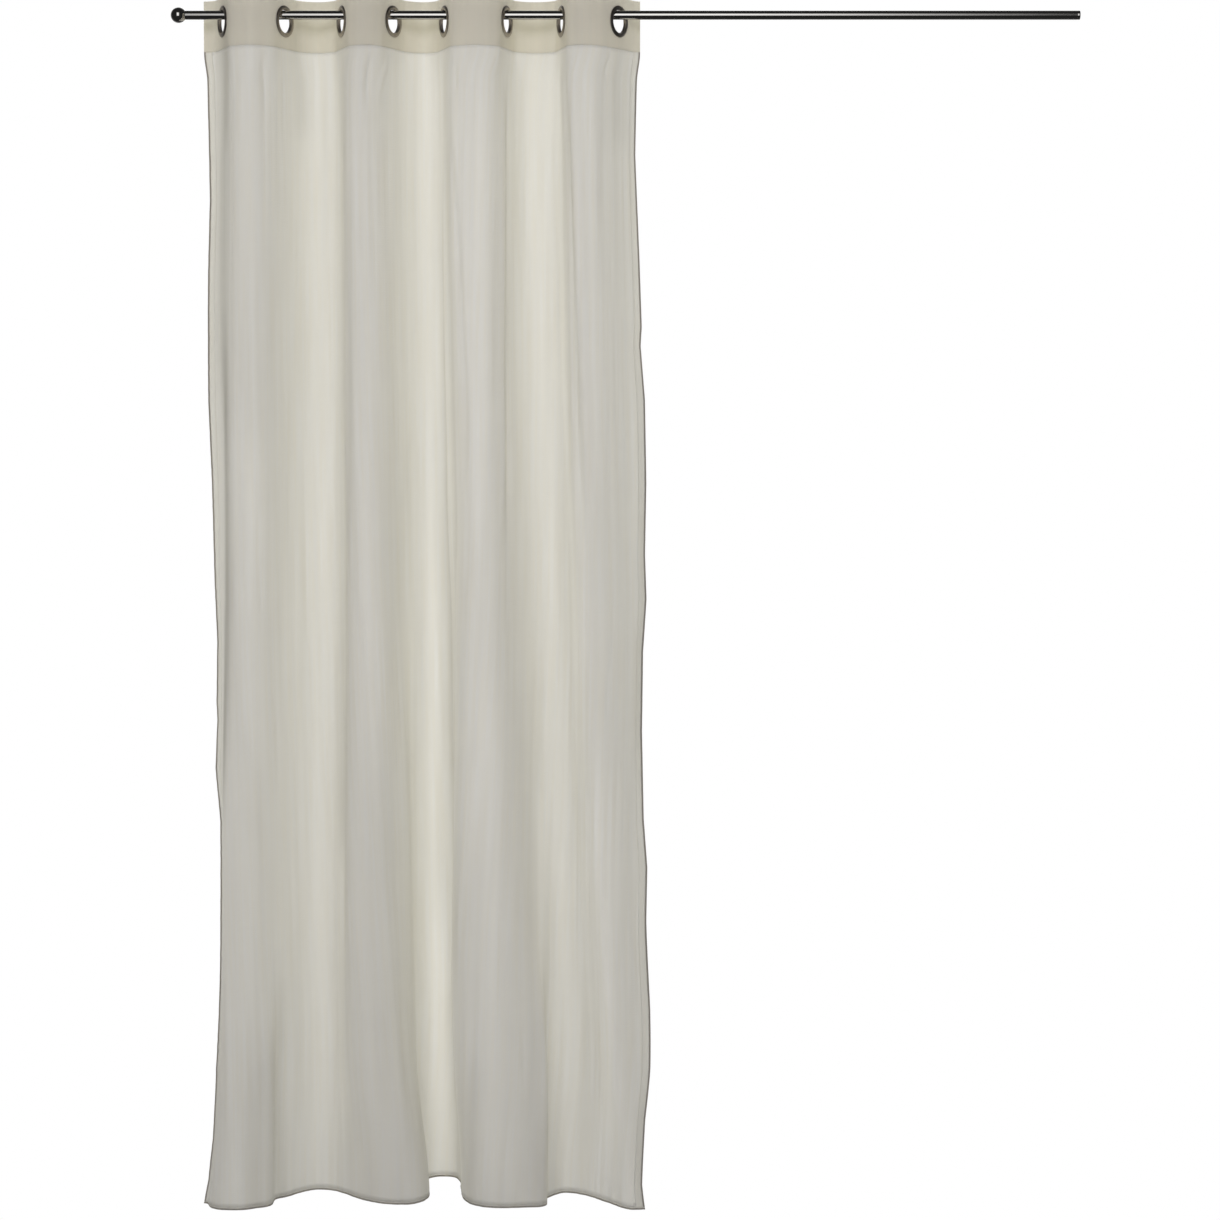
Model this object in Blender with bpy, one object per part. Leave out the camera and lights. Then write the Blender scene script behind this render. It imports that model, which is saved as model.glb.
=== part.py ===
"""Sheer voile eyelet curtain, hanging drawn on the left half of its rod.

Units are metres. +X runs along the rod to the viewer's right, +Y away from the viewer, +Z up.
The origin is on the rod's axis, halfway along the rod.
"""

import math

import bmesh
import bpy
import numpy as np
from mathutils import Matrix, Vector

# The cloth
CLOTH_WIDTH = 1.400  # laid flat, side hem to side hem
TOP_Z = 0.036  # top edge of the heading, above the rod's axis
BAND_FOOT_Z = -0.068  # stitched lower edge of the doubled heading
HEM_Z = -2.430
PANEL_THICK = 0.0012
BAND_THICK = 0.0018
SEAM_GAP = 0.0004  # between the doubled heading and the panel that hangs below its stitching
BAND_ROWS = 2
PANEL_ROWS = 20
CROWDING = 0.06  # panel rows stand closer together at the heading and at the hem
FLAT_COLUMNS = 3  # columns of mesh across the flat at each eyelet
FOLD_COLUMNS = 5  # and across the fold between two of them
EDGE_COLUMNS = 2
WALL_SAMPLES = 20  # points worked out along each wall before it is cut into columns
LEAST_DEPTH, MOST_DEPTH = 0.5, 2.0  # range in which the folds' depths are scaled
HALVINGS = 40  # of that range, to find the scale that takes up the cloth's width

# The eyelets: a front ring with a barrel through the cloth, and a back ring snapped onto it
EYELET_BORE_R = 0.0230
EYELET_RIM_R = 0.0320
BARREL_WALL = 0.0012
FLANGE_HEIGHT = 0.0024
FLANGE_THROAT = 0.0010  # straight part of the bore above the cloth, before it flares out
FLANGE_FLARE = 0.0020  # from the bore out to the top of the flange
FLANGE_SLOPE = 0.0030  # from the top of the flange out to its rim
BACK_RING_HEIGHT = 0.0022
BACK_RING_RIM = 0.0009  # height of the back ring at its rim
BACK_RING_DRAFT = 0.0008  # how far that rim leans in
BACK_RING_SLOPE = 0.0035  # from the top of the back ring out to its rim
BARREL_END = 0.0010  # how far the barrel stands out behind the back ring
CLOTH_HOLE_R = 0.0250
EYELET_STEPS = 20
EYELET_CLEAR = 0.0003
HANG_CLEAR = 0.0010  # between the top of each bore and the rod: the slant of a ring uses some of it
HOLE_CUTTER_DEPTH = 0.014
FLAT_HALF = 0.036  # the rings press the cloth flat this far either side of their centre
FLAT_FADE = 0.026  # and the cloth is free to curve again this much further out
RELEASE_Z = -0.130  # below this the cloth no longer feels the rings

# The rod
ROD_R = 0.00925
ROD_WALL = 0.0010
ROD_LEFT_X = -0.9065
ROD_RIGHT_X = 0.9035
ROD_STEPS = 32
PLUG_CLEAR = 0.0003
PLUG_LENGTH = 0.022
CAP_RIM = 0.0055  # length of the end cap that shows
CAP_CHAMFER = 0.0006
BALL_R = 0.016
BALL_X = -0.9203
BALL_SHOULDER = 0.0004  # how far the ball's neck stays inside the tube's outline
BALL_ARC_STEPS = 9

# Folds. A crest is the line along which a fold stands furthest to the front or to the back. The
# cloth runs from one crest to the next in eight walls, and each wall carries one eyelet.
LEVEL_Z = (BAND_FOOT_Z, RELEASE_Z, -0.580, -1.230, -1.850, -2.140, HEM_Z)
# Place of each crest along the rod, at the heading, neck, upper, middle, lower, calf and hem levels
CREST_X = {
    #              heading   neck   upper  middle   lower    calf     hem
    "edge_left": (-0.878, -0.871, -0.873, -0.859, -0.849, -0.856, -0.877),
    "front_1": (-0.768, -0.774, -0.775, -0.790, -0.796, -0.797, -0.808),
    "back_1": (-0.646, -0.638, -0.638, -0.640, -0.645, -0.644, -0.652),
    "front_2": (-0.540, -0.549, -0.545, -0.538, -0.533, -0.522, -0.470),
    "back_2": (-0.428, -0.422, -0.420, -0.415, -0.407, -0.406, -0.398),
    "front_3": (-0.315, -0.320, -0.320, -0.306, -0.301, -0.296, -0.275),
    "back_3": (-0.199, -0.197, -0.188, -0.168, -0.148, -0.132, -0.136),
    "front_4": (-0.101, -0.102, -0.098, -0.080, -0.054, -0.030, 0.000),
    "edge_right": (0.016, 0.011, 0.017, 0.027, 0.030, 0.036, 0.023),
}
# Depth of each crest behind the rod's axis, less than nothing in front of it, at the same levels
CREST_Y = {
    #              heading   neck   upper  middle   lower    calf     hem
    "edge_left": (0.052, 0.044, 0.040, 0.030, 0.012, 0.000, -0.023),
    "front_1": (-0.060, -0.054, -0.052, -0.052, -0.052, -0.055, -0.060),
    "back_1": (0.060, 0.054, 0.052, 0.050, 0.050, 0.050, 0.052),
    "front_2": (-0.060, -0.052, -0.048, -0.042, -0.036, -0.032, -0.029),
    "back_2": (0.060, 0.058, 0.062, 0.075, 0.105, 0.125, 0.140),
    "front_3": (-0.060, -0.054, -0.052, -0.050, -0.050, -0.050, -0.048),
    "back_3": (0.060, 0.054, 0.050, 0.044, 0.038, 0.036, 0.034),
    "front_4": (-0.060, -0.050, -0.046, -0.042, -0.044, -0.050, -0.056),
    "edge_right": (0.052, 0.038, 0.030, 0.020, -0.010, -0.030, -0.054),
}
BREADTH_Z = (BAND_FOOT_Z, -1.230, HEM_Z)
# How far the cloth keeps its course either side of each crest: the larger, the blunter the crest
# and the steeper the walls beside it
CREST_BREADTH = {
    #            heading middle  hem
    "edge_left": (0.050, 0.030, 0.020),
    "front_1": (0.066, 0.055, 0.055),
    "back_1": (0.062, 0.060, 0.070),
    "front_2": (0.052, 0.060, 0.100),
    "back_2": (0.055, 0.062, 0.085),
    "front_3": (0.080, 0.064, 0.130),
    "back_3": (0.074, 0.062, 0.060),
    "front_4": (0.056, 0.050, 0.022),
    "edge_right": (0.022, 0.020, 0.010),
}
CRESTS = tuple(CREST_X)
EYELETS = len(CRESTS) - 1


def linear(hex_colour):
    """The linear RGBA of an sRGB colour written as six hex digits."""
    channels = [int(hex_colour[i : i + 2], 16) / 255 for i in (0, 2, 4)]
    return [c / 12.92 if c <= 0.04045 else ((c + 0.055) / 1.055) ** 2.4 for c in channels] + [1.0]


def material(name, hex_colour, roughness, metallic):
    made = bpy.data.materials.new(name)
    made.use_nodes = True
    shader = made.node_tree.nodes["Principled BSDF"]
    shader.inputs["Base Color"].default_value = linear(hex_colour)
    shader.inputs["Roughness"].default_value = roughness
    shader.inputs["Metallic"].default_value = metallic
    return made


def smooth(t):
    t = np.clip(t, 0.0, 1.0)
    return t * t * (3.0 - 2.0 * t)


def at_level(table, levels, z):
    """Each crest's value at height z: a smooth curve through the values at the levels."""
    values = np.array([table[crest] for crest in CRESTS])
    levels = np.array(levels)
    z = min(max(z, levels[-1]), levels[0])
    slopes = np.zeros_like(values)
    slopes[:, 1:-1] = (values[:, 2:] - values[:, :-2]) / (levels[2:] - levels[:-2])
    k = min(int(np.searchsorted(-levels, -z, side="right")) - 1, len(levels) - 2)
    step = levels[k + 1] - levels[k]
    t = (z - levels[k]) / step
    ends = smooth(t)
    start_pull = t * (1.0 - t) ** 2 * step
    end_pull = -(t**2) * (1.0 - t) * step
    return (
        values[:, k] * (1.0 - ends)
        + values[:, k + 1] * ends
        + slopes[:, k] * start_pull
        + slopes[:, k + 1] * end_pull
    )


def walls_through(crest_x, crest_y, breadth):
    """The plan of the cloth as one run of points: a cubic for each wall, level at both its crests."""
    t = np.linspace(0.0, 1.0, WALL_SAMPLES + 1)[:, None]
    x0, x1 = crest_x[:-1], crest_x[1:]
    y0, y1 = crest_y[:-1], crest_y[1:]
    keep, pull, push, arrive = (1 - t) ** 3, 3 * t * (1 - t) ** 2, 3 * t**2 * (1 - t), t**3
    x = keep * x0 + pull * (x0 + breadth[:-1]) + push * (x1 - breadth[1:]) + arrive * x1
    y = (keep + pull) * y0 + (push + arrive) * y1
    run = np.stack([x[:-1].T.ravel(), y[:-1].T.ravel()], axis=1)
    return np.vstack([run, [crest_x[-1], crest_y[-1]]])


def lengths_along(run):
    steps = np.linalg.norm(np.diff(run, axis=0), axis=1)
    return np.concatenate([[0.0], np.cumsum(steps)])


def plan_at(z):
    """The cloth's plan at height z, its folds just deep enough to take up the cloth's width."""
    crest_x = at_level(CREST_X, LEVEL_Z, z)
    crest_y = at_level(CREST_Y, LEVEL_Z, z)
    breadth = at_level(CREST_BREADTH, BREADTH_Z, z)
    shallow, deep = LEAST_DEPTH, MOST_DEPTH
    for _ in range(HALVINGS):
        depth = 0.5 * (shallow + deep)
        run = walls_through(crest_x, crest_y * depth, breadth)
        if lengths_along(run)[-1] < CLOTH_WIDTH:
            shallow = depth
        else:
            deep = depth
    return run


def point_on(run, along):
    """Points this far along the cloth from its left edge."""
    lengths = lengths_along(run)
    along = np.asarray(along) * lengths[-1] / CLOTH_WIDTH
    return np.stack([np.interp(along, lengths, run[:, i]) for i in (0, 1)], axis=-1)


def find_eyelets():
    """Where each wall of the heading crosses the rod: (distance along the cloth, place, direction)."""
    run = plan_at(BAND_FOOT_Z)
    lengths = lengths_along(run)
    found = []
    for wall in range(EYELETS):
        i = wall * WALL_SAMPLES
        part = slice(i, i + WALL_SAMPLES + 1)
        order = 1 if run[i + WALL_SAMPLES, 1] > run[i, 1] else -1
        along = float(np.interp(0.0, run[part, 1][::order], lengths[part][::order]))
        before, after = point_on(run, [along - FLAT_HALF / 2, along + FLAT_HALF / 2])
        direction = (after - before) / np.linalg.norm(after - before)
        found.append((along, point_on(run, along), direction))
    return found


EYELET_FLATS = find_eyelets()


def cloth_points(along, z):
    """Plan points of the cloth's middle surface at height z, flat where the eyelets clamp it."""
    along = np.asarray(along)
    points = point_on(plan_at(z), along)
    hold = smooth((z - RELEASE_Z) / (BAND_FOOT_Z - RELEASE_Z))
    for centre_along, place, direction in EYELET_FLATS:
        across = np.array([direction[1], -direction[0]])
        reach = np.abs(along - centre_along)
        grip = hold * (1.0 - smooth((reach - FLAT_HALF) / FLAT_FADE))
        points = points - (grip * ((points - place) @ across))[:, None] * across
    return points


def columns():
    """Distances along the cloth at which both sheets have an edge, with whole flats at the eyelets."""
    stops = [0.0]
    for k, (along, _, _) in enumerate(EYELET_FLATS):
        steps = FOLD_COLUMNS if k else EDGE_COLUMNS
        stops += list(np.linspace(stops[-1], along - FLAT_HALF, steps + 1)[1:])
        stops += list(np.linspace(stops[-1], along + FLAT_HALF, FLAT_COLUMNS + 1)[1:])
    stops += list(np.linspace(stops[-1], CLOTH_WIDTH, EDGE_COLUMNS + 1)[1:])
    return np.array(stops)


def new_object(name, mesh, finish, parent, matrix=None):
    made = bpy.data.objects.new(name, mesh)
    made.data.materials.clear()
    made.data.materials.append(finish)
    made.matrix_world = matrix or Matrix.Identity(4)
    made.parent = parent
    bpy.context.collection.objects.link(made)
    return made


def mesh_from(bm, name, sharp_angle=None):
    mesh = bpy.data.meshes.new(name)
    bm.to_mesh(mesh)
    bm.free()
    if sharp_angle:
        mesh.shade_smooth()
        mesh.set_sharp_from_angle(angle=math.radians(sharp_angle))
    return mesh


def hanging_sheet(name, rows, thickness, finish, parent):
    """A sheet on the folds, with an edge across it at each height in rows, from top to bottom."""
    stops = columns()
    bm = bmesh.new()
    across, down = len(stops) - 1, len(rows) - 1
    bmesh.ops.create_grid(bm, x_segments=across, y_segments=down, size=0.5)
    plans = [cloth_points(stops, z) for z in rows]
    for vert in bm.verts:
        column = round((vert.co.x + 0.5) * across)
        row = round((0.5 - vert.co.y) * down)
        vert.co = (*plans[row][column], rows[row])
    sheet = new_object(name, mesh_from(bm, name, sharp_angle=60), finish, parent)
    thicken = sheet.modifiers.new("thickness", "SOLIDIFY")
    thicken.thickness = thickness
    thicken.offset = 0.0
    thicken.use_even_offset = True
    return sheet


def curtain_panel(finish, parent):
    """The voile from the heading's stitching down to the rolled hem."""
    foot = BAND_FOOT_Z - SEAM_GAP
    rows = []
    for i in range(PANEL_ROWS + 1):
        t = i / PANEL_ROWS
        share = t - CROWDING * math.sin(2 * math.pi * t)
        rows.append(foot + (HEM_Z - foot) * share)
    return hanging_sheet("curtain_panel", rows, PANEL_THICK, finish, parent)


def heading_band(finish, parent):
    """The doubled heading, with a round hole for each eyelet."""
    rows = np.linspace(TOP_Z, BAND_FOOT_Z, BAND_ROWS + 1)
    band = hanging_sheet("heading_band", rows, BAND_THICK, finish, parent)
    holes = band.modifiers.new("eyelet holes", "BOOLEAN")
    holes.operation = "DIFFERENCE"
    holes.solver = "EXACT"
    holes.object = hole_cutter(parent)
    return band


def eyelet_matrix(place, direction):
    """A frame whose Z points out of the cloth's front face and whose X runs along the cloth."""
    along = Vector((direction[0], direction[1], 0.0))
    up = Vector((0.0, 0.0, 1.0))
    front = along.cross(up)
    centre = Vector((place[0], place[1], ROD_R + HANG_CLEAR - EYELET_BORE_R))
    turn = Matrix((along, up, front)).transposed().to_4x4()
    return Matrix.Translation(centre) @ turn


def hole_cutter(parent):
    """One helper holding a short cylinder for each eyelet hole."""
    bm = bmesh.new()
    for _, place, direction in EYELET_FLATS:
        bmesh.ops.create_cone(
            bm,
            cap_ends=True,
            segments=EYELET_STEPS,
            radius1=CLOTH_HOLE_R,
            radius2=CLOTH_HOLE_R,
            depth=HOLE_CUTTER_DEPTH,
            matrix=eyelet_matrix(place, direction),
        )
    cutter = bpy.data.objects.new("eyelet_hole_cutter", mesh_from(bm, "eyelet_hole_cutter"))
    cutter.parent = parent
    cutter.hide_render = True
    cutter.display_type = "WIRE"
    bpy.context.collection.objects.link(cutter)
    return cutter


def turned(name, profile, axis, steps, sharp_angle=30):
    """A solid turned about an axis through the origin. profile is a closed run of (place, radius)."""
    bm = bmesh.new()
    axis = Vector(axis)
    out = Vector((0.0, 1.0, 0.0))
    verts = [bm.verts.new(axis * place + out * radius) for place, radius in profile]
    edges = [bm.edges.new(pair) for pair in zip(verts, verts[1:] + verts[:1]) if on_skin(pair, axis)]
    bmesh.ops.spin(
        bm,
        geom=verts + edges,
        cent=(0, 0, 0),
        axis=axis,
        dvec=(0, 0, 0),
        angle=2 * math.pi,
        steps=steps,
        use_merge=True,
    )
    bmesh.ops.remove_doubles(bm, verts=bm.verts, dist=1e-6)
    bmesh.ops.recalc_face_normals(bm, faces=bm.faces)
    return mesh_from(bm, name, sharp_angle)


def on_skin(pair, axis):
    """Whether an edge of a profile turns into a face: one that lies on the axis doesn't."""
    return any(vert.co.cross(axis).length > 1e-9 for vert in pair)


def eyelets(finish, parent):
    """Eight two-part eyelets, each hanging on the rod with its cloth clamped between the parts."""
    face = BAND_THICK / 2 + EYELET_CLEAR
    back = -face - BACK_RING_HEIGHT
    barrel_r = EYELET_BORE_R + BARREL_WALL
    front_profile = [
        (back - BARREL_END, EYELET_BORE_R),
        (face + FLANGE_THROAT, EYELET_BORE_R),
        (face + FLANGE_HEIGHT, EYELET_BORE_R + FLANGE_FLARE),
        (face + FLANGE_HEIGHT, EYELET_RIM_R - FLANGE_SLOPE),
        (face, EYELET_RIM_R),
        (face, barrel_r),
        (back - BARREL_END, barrel_r),
    ]
    back_profile = [
        (-face, barrel_r + EYELET_CLEAR),
        (-face, EYELET_RIM_R),
        (-face - BACK_RING_RIM, EYELET_RIM_R - BACK_RING_DRAFT),
        (back, EYELET_RIM_R - BACK_RING_SLOPE),
        (back, barrel_r + EYELET_CLEAR),
    ]
    front_mesh = turned("eyelet_front", front_profile, (0, 0, 1), EYELET_STEPS)
    back_mesh = turned("eyelet_back", back_profile, (0, 0, 1), EYELET_STEPS)
    for k, (_, place, direction) in enumerate(EYELET_FLATS, start=1):
        matrix = eyelet_matrix(place, direction)
        new_object(f"eyelet_{k}_front", front_mesh, finish, parent, matrix)
        new_object(f"eyelet_{k}_back", back_mesh, finish, parent, matrix)


def rod(finish, parent):
    """A straight thin-walled tube."""
    bore = ROD_R - ROD_WALL
    profile = [(ROD_LEFT_X, bore), (ROD_LEFT_X, ROD_R), (ROD_RIGHT_X, ROD_R), (ROD_RIGHT_X, bore)]
    new_object("rod", turned("rod", profile, (1, 0, 0), ROD_STEPS), finish, parent)


def rod_end_cap(finish, parent):
    """A flat cap with a plug in the tube's right end."""
    plug_r = ROD_R - ROD_WALL - PLUG_CLEAR
    start = ROD_RIGHT_X + PLUG_CLEAR
    end = ROD_RIGHT_X + CAP_RIM
    profile = [
        (ROD_RIGHT_X - PLUG_LENGTH, 0.0),
        (ROD_RIGHT_X - PLUG_LENGTH, plug_r),
        (start, plug_r),
        (start, ROD_R),
        (end - CAP_CHAMFER, ROD_R),
        (end, ROD_R - CAP_CHAMFER),
        (end, 0.0),
    ]
    new_object("rod_end_cap", turned("rod_end_cap", profile, (1, 0, 0), ROD_STEPS), finish, parent)


def ball_finial(finish, parent):
    """A ball with a plug in the tube's left end, seated on the tube with its shoulder."""
    plug_r = ROD_R - ROD_WALL - PLUG_CLEAR
    shoulder_r = ROD_R - BALL_SHOULDER
    last = math.asin(shoulder_r / BALL_R)
    turns = np.linspace(math.pi, last, BALL_ARC_STEPS + 1)
    arc = [(BALL_X + BALL_R * math.cos(a), BALL_R * math.sin(a)) for a in turns]
    arc[0] = (BALL_X - BALL_R, 0.0)
    profile = arc + [
        (ROD_LEFT_X - PLUG_CLEAR, shoulder_r),
        (ROD_LEFT_X - PLUG_CLEAR, plug_r),
        (ROD_LEFT_X + PLUG_LENGTH, plug_r),
        (ROD_LEFT_X + PLUG_LENGTH, 0.0),
    ]
    new_object("ball_finial", turned("ball_finial", profile, (1, 0, 0), ROD_STEPS), finish, parent)


def main():
    for old in list(bpy.data.objects):
        bpy.data.objects.remove(old, do_unlink=True)
    hanger = bpy.data.objects.new("curtain_on_rod", None)
    bpy.context.collection.objects.link(hanger)
    curtain_panel(material("voile", "C6C3B6", 0.95, 0.0), hanger)
    heading_band(material("doubled voile", "BAB5A8", 0.95, 0.0), hanger)
    eyelets(material("dark nickel", "5A544E", 0.30, 1.0), hanger)
    steel = material("brushed steel", "A9A6A2", 0.28, 1.0)
    rod(steel, hanger)
    rod_end_cap(steel, hanger)
    ball_finial(steel, hanger)


main()
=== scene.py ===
"""Sheer voile eyelet curtain on its rod: the finished surfaces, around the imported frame.

Units are metres. +X runs along the rod to the viewer's right, +Y away from the viewer, +Z up.
"""

import math

import bmesh
import bpy
import numpy as np
from mathutils import Matrix, Vector


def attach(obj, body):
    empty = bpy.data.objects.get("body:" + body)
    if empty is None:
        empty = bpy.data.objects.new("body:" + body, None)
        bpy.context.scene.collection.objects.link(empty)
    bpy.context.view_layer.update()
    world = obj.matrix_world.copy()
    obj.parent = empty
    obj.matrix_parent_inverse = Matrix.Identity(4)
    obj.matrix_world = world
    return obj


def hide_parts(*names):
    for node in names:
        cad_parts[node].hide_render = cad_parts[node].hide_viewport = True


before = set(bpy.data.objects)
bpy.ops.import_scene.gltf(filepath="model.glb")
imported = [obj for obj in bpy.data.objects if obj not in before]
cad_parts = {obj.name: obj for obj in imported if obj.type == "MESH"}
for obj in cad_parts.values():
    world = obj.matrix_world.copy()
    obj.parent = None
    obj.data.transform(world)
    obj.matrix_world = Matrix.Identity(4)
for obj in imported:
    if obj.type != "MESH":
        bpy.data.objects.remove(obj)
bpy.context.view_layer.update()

# ---------------------------------------------------------------- sizes of the cloth
CLOTH_WIDTH = 1.400  # laid flat, side hem to side hem
TOP_Z = 0.036  # top edge of the heading, above the rod's axis
BAND_FOOT_Z = -0.068  # stitched lower edge of the doubled heading
HEM_Z = -2.430
TUCK = 0.0004  # how far the panel runs up between the two layers of the heading
PANEL_THICK = 0.0005
BAND_THICK = 0.0011
BAND_EDGE_ROUND = 0.0003
BOTTOM_HEM = 0.006
BOTTOM_HEM_THICK = 0.0009
EDGE_ROLL = (0.0018, 0.0009)  # half the width and half the thickness of the roll along each edge
SIDE_HEM = 0.018
SIDE_HEM_THICK = 0.0009
SIDE_HEM_BACK = 0.0002  # the turned layers lie behind the panel, so a hem's middle does too
BOTTOM_HEM_BACK = 0.0002
HEM_OVERLAP = 0.0005  # how far the panel and the hems run into each other
PANEL_COLUMNS = 500
PANEL_ROW = 0.027
FINE_ROW = 0.010  # rows next to the heading and the hem, where the cloth puckers
FINE_BELOW_HEADING, FINE_ABOVE_HEM = 0.090, 0.040
BAND_COLUMNS, BAND_ROWS = 420, 30
HEM_STEP = 0.004
HEM_SECTION_POINTS = 16
HEM_SQUARENESS = 0.22  # 1 is an oval section, and less is flatter with round edges
READ_AHEAD = 0.0015  # how far either side the cloth's direction is read
SHARP_FOLD, SHARP_HEADING, SHARP_METAL = 60, 50, 40  # edges bent by more degrees than this stay sharp

# ---------------------------------------------------------------- stitching
SEAM_ABOVE_FOOT = 0.0025  # the row of stitches that closes the heading
SEAM_FROM_FOLD = 0.0018  # from a hem's stitches to its inner edge
STITCH_PITCH = 0.0036
STITCH_HALF = (0.0012, 0.00012)  # half its length and half its thickness
STITCH_SINK = 0.00006
SEAM_INSET = 0.002  # from a seam's ends to the side edges

# ---------------------------------------------------------------- sizes of the eyelets and the rod
BORE_R = 0.0230
RIM_R = 0.0320
BARREL_WALL = 0.0012
FLANGE_HEIGHT = 0.0025
FLANGE_RIM = 0.0007  # height of the rolled rim
BACK_RING_HEIGHT = 0.0022
BARREL_END = 0.0010
FRONT_SHOULDER, BACK_SHOULDER = 0.0030, 0.0035  # from the rim in to where each ring is highest
CLOTH_HOLE_R = 0.0250
PUNCH_SEGMENTS, PUNCH_DEPTH = 64, 0.02
CLAMP_FACE = 0.0009  # from the heading's middle to the face of each ring
HANG_CLEAR = 0.0010
FLAT_HALF = 0.036  # the rings press the cloth flat this far either side of their centre
FLAT_FADE = 0.026
RELEASE_Z = -0.130  # below this the cloth no longer feels the rings
RING_STEPS = 72
ROUNDING_SEGMENTS = 6
MERGE_DISTANCE = 0.000001
ROD_R = 0.00925
ROD_WALL = 0.0010
ROD_LEFT_X, ROD_RIGHT_X = -0.9065, 0.9035
SEAT_GAP = 0.0003  # between the tube and the fittings in its ends
PLUG_LENGTH = 0.022
CAP_RIM = 0.0055
CAP_ROUND = 0.0008
BALL_R = 0.016
BALL_X = -0.9203
BALL_ARC_STEPS = 40
NECK_R = 0.0082
ROD_STEPS = 64

# ---------------------------------------------------------------- folds, as the frame has them
# A crest is the line along which a fold stands furthest to the front or to the back. Each value
# stands at the heading, neck, upper, middle, lower, calf and hem levels.
LEVEL_Z = (BAND_FOOT_Z, RELEASE_Z, -0.580, -1.230, -1.850, -2.140, HEM_Z)
CREST_X = {
    #              heading   neck   upper  middle   lower    calf     hem
    "edge_left": (-0.878, -0.871, -0.873, -0.859, -0.849, -0.856, -0.877),
    "front_1": (-0.768, -0.774, -0.775, -0.790, -0.796, -0.797, -0.808),
    "back_1": (-0.646, -0.638, -0.638, -0.640, -0.645, -0.644, -0.652),
    "front_2": (-0.540, -0.549, -0.545, -0.538, -0.533, -0.522, -0.470),
    "back_2": (-0.428, -0.422, -0.420, -0.415, -0.407, -0.406, -0.398),
    "front_3": (-0.315, -0.320, -0.320, -0.306, -0.301, -0.294, -0.269),
    "back_3": (-0.199, -0.197, -0.188, -0.168, -0.148, -0.132, -0.136),
    "front_4": (-0.101, -0.102, -0.098, -0.080, -0.054, -0.030, 0.000),
    "edge_right": (0.016, 0.011, 0.017, 0.027, 0.030, 0.036, 0.023),
}
CREST_Y = {
    #              heading   neck   upper  middle   lower    calf     hem
    "edge_left": (0.052, 0.044, 0.040, 0.030, 0.012, 0.000, -0.023),
    "front_1": (-0.060, -0.054, -0.052, -0.052, -0.052, -0.055, -0.060),
    "back_1": (0.060, 0.054, 0.052, 0.050, 0.050, 0.050, 0.052),
    "front_2": (-0.060, -0.052, -0.048, -0.042, -0.036, -0.032, -0.029),
    "back_2": (0.060, 0.058, 0.062, 0.075, 0.103, 0.118, 0.124),
    "front_3": (-0.060, -0.054, -0.052, -0.050, -0.050, -0.050, -0.048),
    "back_3": (0.060, 0.054, 0.050, 0.044, 0.038, 0.036, 0.034),
    "front_4": (-0.060, -0.050, -0.046, -0.042, -0.044, -0.050, -0.056),
    "edge_right": (0.052, 0.038, 0.030, 0.020, -0.010, -0.030, -0.054),
}
# How far the cloth keeps its course either side of each crest, at three heights
BREADTH_Z = (BAND_FOOT_Z, -1.230, HEM_Z)
CREST_BREADTH = {
    #            heading middle  hem
    "edge_left": (0.050, 0.030, 0.020),
    "front_1": (0.066, 0.055, 0.075),
    "back_1": (0.062, 0.060, 0.060),
    "front_2": (0.052, 0.060, 0.100),
    "back_2": (0.055, 0.062, 0.085),
    "front_3": (0.080, 0.064, 0.138),
    "back_3": (0.074, 0.062, 0.046),
    "front_4": (0.056, 0.050, 0.022),
    "edge_right": (0.022, 0.020, 0.010),
}
CRESTS = tuple(CREST_X)
EYELETS = len(CRESTS) - 1
WALL_SAMPLES = 60
LEAST_DEPTH, MOST_DEPTH, HALVINGS = 0.5, 2.0, 26
PLAN_COLUMNS = 1401  # one each millimetre of the cloth
PLAN_STEP_Z = 0.006


# ---------------------------------------------------------------- the folds' plan
def smooth(t):
    t = np.clip(t, 0.0, 1.0)
    return t * t * (3.0 - 2.0 * t)


def at_level(table, levels, z):
    """Each crest's value at height z: a smooth curve through the values at the levels."""
    values = np.array([table[crest] for crest in CRESTS])
    levels = np.array(levels)
    z = min(max(z, levels[-1]), levels[0])
    slopes = np.zeros_like(values)
    slopes[:, 1:-1] = (values[:, 2:] - values[:, :-2]) / (levels[2:] - levels[:-2])
    k = min(int(np.searchsorted(-levels, -z, side="right")) - 1, len(levels) - 2)
    step = levels[k + 1] - levels[k]
    t = (z - levels[k]) / step
    ends = smooth(t)
    start_pull = t * (1.0 - t) ** 2 * step
    end_pull = -(t**2) * (1.0 - t) * step
    return (
        values[:, k] * (1.0 - ends)
        + values[:, k + 1] * ends
        + slopes[:, k] * start_pull
        + slopes[:, k + 1] * end_pull
    )


def walls_through(crest_x, crest_y, breadth):
    """The plan of the cloth as one run of points: a cubic for each wall, level at both its crests."""
    t = np.linspace(0.0, 1.0, WALL_SAMPLES + 1)[:, None]
    x0, x1 = crest_x[:-1], crest_x[1:]
    y0, y1 = crest_y[:-1], crest_y[1:]
    keep, pull, push, arrive = (1 - t) ** 3, 3 * t * (1 - t) ** 2, 3 * t**2 * (1 - t), t**3
    x = keep * x0 + pull * (x0 + breadth[:-1]) + push * (x1 - breadth[1:]) + arrive * x1
    y = (keep + pull) * y0 + (push + arrive) * y1
    run = np.stack([x[:-1].T.ravel(), y[:-1].T.ravel()], axis=1)
    return np.vstack([run, [crest_x[-1], crest_y[-1]]])


def lengths_along(run):
    steps = np.linalg.norm(np.diff(run, axis=0), axis=1)
    return np.concatenate([[0.0], np.cumsum(steps)])


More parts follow.
